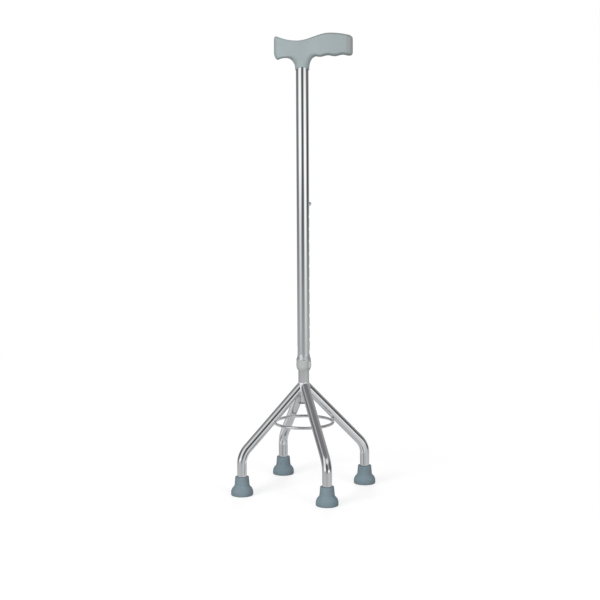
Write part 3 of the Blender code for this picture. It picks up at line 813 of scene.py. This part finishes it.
def drill_shape():
    """Drills a row of round holes through the +X wall of the input tube."""
    shape = Shape("drilled_tube", ["First hole", "Pitch", "Hole radius", "Tube radius"], ["Holes"])
    row = shape.out("GeometryNodeMeshLine", {
        "Count": shape.size("Holes"), "Offset": shape.vector(z=shape.size("Pitch")),
        "Start Location": shape.vector(x=shape.size("Tube radius"), z=shape.size("First hole")),
    })
    drill = shape.out("GeometryNodeMeshCylinder", {
        "Vertices": DRILL_SIDES, "Radius": shape.size("Hole radius"),
        "Depth": shape.maths("MULTIPLY", shape.size("Tube radius"), DRILL_REACH),
    })
    drills = shape.out("GeometryNodeInstanceOnPoints", {
        "Points": row, "Instance": drill, "Rotation": shape.vector(y=math.pi / 2),
    })
    bits = shape.out("GeometryNodeRealizeInstances", {0: drills})
    return shape.end(shape.cut(shape.size("Geometry"), bits))


def make_upper_tube(plate):
    low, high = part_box("upper_tube")
    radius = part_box("lower_tube")[1].x + TUBE_CLEARANCE + TUBE_WALL
    bell = high.x
    mouth, top = low.z, high.z
    bore = radius - TUBE_WALL
    outline = [
        (bell, mouth), (bell, mouth + BELL_STRAIGHT), (radius + BELL_KNEE_GROWTH, mouth + BELL_KNEE),
        (radius, mouth + BELL_TOP), (radius, top), (bore, top), (bore, mouth + BORE_STRAIGHT + BORE_CONE),
        (bell - TUBE_WALL, mouth + BORE_STRAIGHT), (bell - TUBE_WALL, mouth),
    ]
    section = rounded(outline, dict(enumerate(BELL_SOFTNESS)), CORNER_STEPS)
    blank = piece("tube_blank", spin(section, TUBE_SIDES), plate)
    tube = grow("outer_tube", drill_shape(), {
        "Holes": HOLE_COUNT, "First hole": mouth + LOWEST_HOLE, "Pitch": HOLE_PITCH,
        "Hole radius": HOLE_RADIUS, "Tube radius": radius,
    }, plate, blank)
    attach(tube, "upper")
    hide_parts("upper_tube")


def make_lower_tube(plate):
    low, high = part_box("lower_tube")
    radius = high.x
    bore = radius - TUBE_WALL
    outline = [(bore, low.z), (radius, low.z), (radius, high.z), (bore, high.z)]
    section = rounded(outline, {1: POST_SOFTNESS, 2: POST_SOFTNESS}, POST_CORNER_STEPS)
    blank = piece("post_blank", spin(section, TUBE_SIDES), plate)
    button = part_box("snap_button")
    tube = grow("inner_tube", drill_shape(), {
        "Holes": 1, "First hole": (button[0].z + button[1].z) / 2, "Pitch": HOLE_PITCH,
        "Hole radius": HOLE_RADIUS, "Tube radius": radius,
    }, plate, blank)
    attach(tube, "base")
    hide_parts("lower_tube")


# Height lock and grip

def make_button(plate):
    """A flanged pin with a round dome, spun upright and then laid along +X."""
    low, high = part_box("snap_button")
    flange_radius = (high.z - low.z) / 2
    flange = low.x + BUTTON_FLANGE_THICKNESS
    dome = high.x - BUTTON_RADIUS
    outline = [(0.0, low.x), (flange_radius, low.x), (flange_radius, flange), (BUTTON_RADIUS, flange)]
    for step in range(DOME_STEPS):
        turn = math.pi / 2 * step / DOME_STEPS
        outline.append((BUTTON_RADIUS * math.cos(turn), dome + BUTTON_RADIUS * math.sin(turn)))
    outline.append((0.0, high.x))
    bm = spin(outline, BUTTON_SIDES)
    bmesh.ops.rotate(bm, verts=bm.verts, matrix=Matrix.Rotation(math.pi / 2, 3, "Y"))
    bmesh.ops.translate(bm, verts=bm.verts, vec=(0, 0, (low.z + high.z) / 2))
    button = piece("domed_button", bm, plate)
    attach(button, "button")
    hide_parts("snap_button")


def make_leaf(steel):
    """The button's leaf spring, as one finer copy of its CAD solid."""
    bm = cad_copy("button_spring")
    bmesh.ops.subdivide_edges(bm, edges=bm.edges[:], cuts=2, use_grid_fill=True)
    leaf = piece("leaf_spring", bm, steel)
    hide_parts("button_spring")
    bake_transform(leaf)


def make_collar(plastic):
    copy = mesh_of("collar_copy", cad_copy("lock_collar"))
    collar = eased(copy, "twist_collar", plastic, COLLAR_VOXEL, COLLAR_EASE)
    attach(collar, "collar")
    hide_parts("lock_collar")


def make_grip(plastic):
    copy = mesh_of("grip_copy", cad_copy("handle_grip"))
    grip = eased(copy, "moulded_grip", plastic, GRIP_VOXEL, GRIP_EASE)
    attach(grip, "upper")
    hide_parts("handle_grip")


def finish_hidden(nylon, zinc):
    """The bush and washers keep their solids and get their own finishes."""
    for node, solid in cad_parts.items():
        if node == "collar_bush":
            solid.data.materials[0] = nylon
        elif node.startswith("ferrule_washer"):
            solid.data.materials[0] = zinc


# Studio

def make_floor():
    """A pale disc that shows white to the camera and keeps a faint shadow."""
    bm = bmesh.new()
    bmesh.ops.create_circle(bm, cap_ends=True, segments=ROUND, radius=FLOOR_RADIUS)
    floor = put("floor", mesh_of("floor", bm))
    floor.location.z = -FLOOR_DROP
    floor.visible_glossy = False
    finish = Finish("pale_floor", FLOOR_BOUNCE, 1.0)
    finish.shader.inputs["Specular IOR Level"].default_value = 0.0
    seen = finish.out("ShaderNodeAddShader", {
        0: finish.out("ShaderNodeBsdfDiffuse", {"Color": (*FLOOR_SEEN, 1.0)}),
        1: finish.out("ShaderNodeEmission", {"Color": (1, 1, 1, 1), "Strength": FLOOR_GLOW}),
    })
    path = finish.add("ShaderNodeLightPath")
    plain = finish.out("ShaderNodeMixShader", {
        0: path.outputs["Is Camera Ray"], 1: finish.shader.outputs[0], 2: seen,
    })
    finish.join(plain, finish.tree.nodes["Material Output"].inputs["Surface"])
    floor.data.materials.append(finish.material)


def make_world():
    """White to the camera, studio walls to the plating, and a plain fill to all else."""
    world = bpy.data.worlds.new("studio")
    bpy.context.scene.world = world
    world.use_nodes = True
    world.node_tree.nodes.clear()
    sky = Nodes(world.node_tree)
    to_x, to_y, up = sky.add("ShaderNodeSeparateXYZ", {
        0: sky.add("ShaderNodeTexCoord").outputs["Generated"],
    }).outputs
    turn = sky.maths("ARCTAN2", to_x, sky.maths("MULTIPLY", to_y, -1.0))
    share = sky.maths("ADD", sky.maths("DIVIDE", turn, math.tau), 0.5)

    def ring_of(stops):
        """Levels round the studio, by turn from the camera."""
        node = sky.add("ShaderNodeValToRGB", {0: share})
        for number, (degrees, level) in enumerate(stops):
            at = (degrees + 180) / 360
            stop = node.color_ramp.elements[number] if number < 2 else node.color_ramp.elements.new(at)
            stop.position = at
            stop.color = (level, level, level, 1)
        return node.outputs[0]

    def rise(low, high, most):
        """A smooth share from none at one steepness of the way to the most at another."""
        return sky.span(up, low, high, 0.0, most, interpolation_type="SMOOTHSTEP")

    mirrored = ring_of(FOOT_WALLS)
    for low, high, most, layer in STUDIO_LAYERS:
        level = ring_of(layer) if isinstance(layer, list) else (layer, layer, layer * COOL)
        mirrored = sky.mix(rise(low, high, most), mirrored, level)

    path = sky.add("ShaderNodeLightPath").outputs
    before = sky.span(to_y, 0.2, -1.0, FILL_BEHIND, FILL_BEFORE)
    from_below = sky.maths("MULTIPLY", rise(-0.7, 0.1, 1.0), 1 - FILL_FROM_BELOW)
    fill = sky.maths("MULTIPLY", before, sky.maths("ADD", from_below, FILL_FROM_BELOW))
    glossy = sky.maths("MAXIMUM", path["Is Glossy Ray"], path["Is Transmission Ray"])
    seen = sky.mix(path["Is Camera Ray"], sky.mix(glossy, fill, mirrored), (1, 1, 1))
    background = sky.out("ShaderNodeBackground", {"Color": seen, "Strength": 1.0})
    sky.join(background, sky.add("ShaderNodeOutputWorld").inputs["Surface"])


def add_lamp(name, place, target, power):
    """A square soft lamp, hidden from the plating, which mirrors only the studio's walls."""
    data = bpy.data.lights.new(name, "AREA")
    data.shape = "SQUARE"
    data.size = LAMP_SIZE
    data.energy = power
    lamp = put(name, data)
    lamp.location = place
    lamp.rotation_mode = "QUATERNION"
    lamp.rotation_quaternion = (Vector(place) - Vector(target)).to_track_quat("Z", "Y")
    lamp.visible_glossy = False
    lamp.visible_camera = False


def make_studio():
    make_floor()
    make_world()
    for lamp in LAMPS:
        add_lamp(*lamp)
    bpy.context.scene.view_settings.view_transform = "Standard"


def make_camera():
    data = bpy.data.cameras.new("camera")
    data.sensor_width = SENSOR_WIDTH
    data.lens = CAMERA_LENS
    data.clip_start = CLIP_NEAR
    data.clip_end = CLIP_FAR
    camera = put("camera", data)
    level = Matrix.Rotation(math.pi / 2 - CAMERA_PITCH, 4, "X")
    camera.matrix_world = Matrix.Translation(CAMERA_PLACE) @ level @ Matrix.Rotation(-CAMERA_ROLL, 4, "Z")
    bpy.context.scene.camera = camera


def main():
    make_camera()
    along_tube = (1, 1, 0.06)
    satin_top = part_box("upper_tube")[0].z + BELL_TOP + SATIN_ABOVE_BELL
    tube_plate = chrome_plate("tube_plate", along_tube, satin_top=satin_top)
    # Top of the painted shade at the post's lower end
    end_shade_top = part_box("lower_tube")[0].z + END_SHADE_HEIGHT
    post_plate = chrome_plate("post_plate", along_tube, tone=POST_TONE, end_shade_top=end_shade_top)
    weld = weld_plate("weld_plate")
    make_legs(chrome_plate("leg_plate"))
    make_crown_welds(weld)
    make_ring(chrome_plate("hoop_plate", low=0.14, high=0.24), weld)
    make_ferrules(moulded_rubber("ferrule_rubber"))
    make_upper_tube(tube_plate)
    make_lower_tube(post_plate)
    make_button(chrome_plate("button_plate"))
    make_collar(moulded_plastic("collar_plastic", COLLAR_GREY, 0.42, painted_light=pad_highlight_and_shade))
    make_grip(moulded_plastic("grip_plastic", GRIP_GREY, 0.5, seam_axis=1, painted_light=heel_shade))
    make_leaf(spring_steel("leaf_steel", LEAF_STEEL, 0.3))
    nylon = moulded_plastic("bush_nylon", BUSH_NYLON, 0.45)
    finish_hidden(nylon, spring_steel("washer_zinc", WASHER_ZINC, 0.35))
    make_studio()


main()
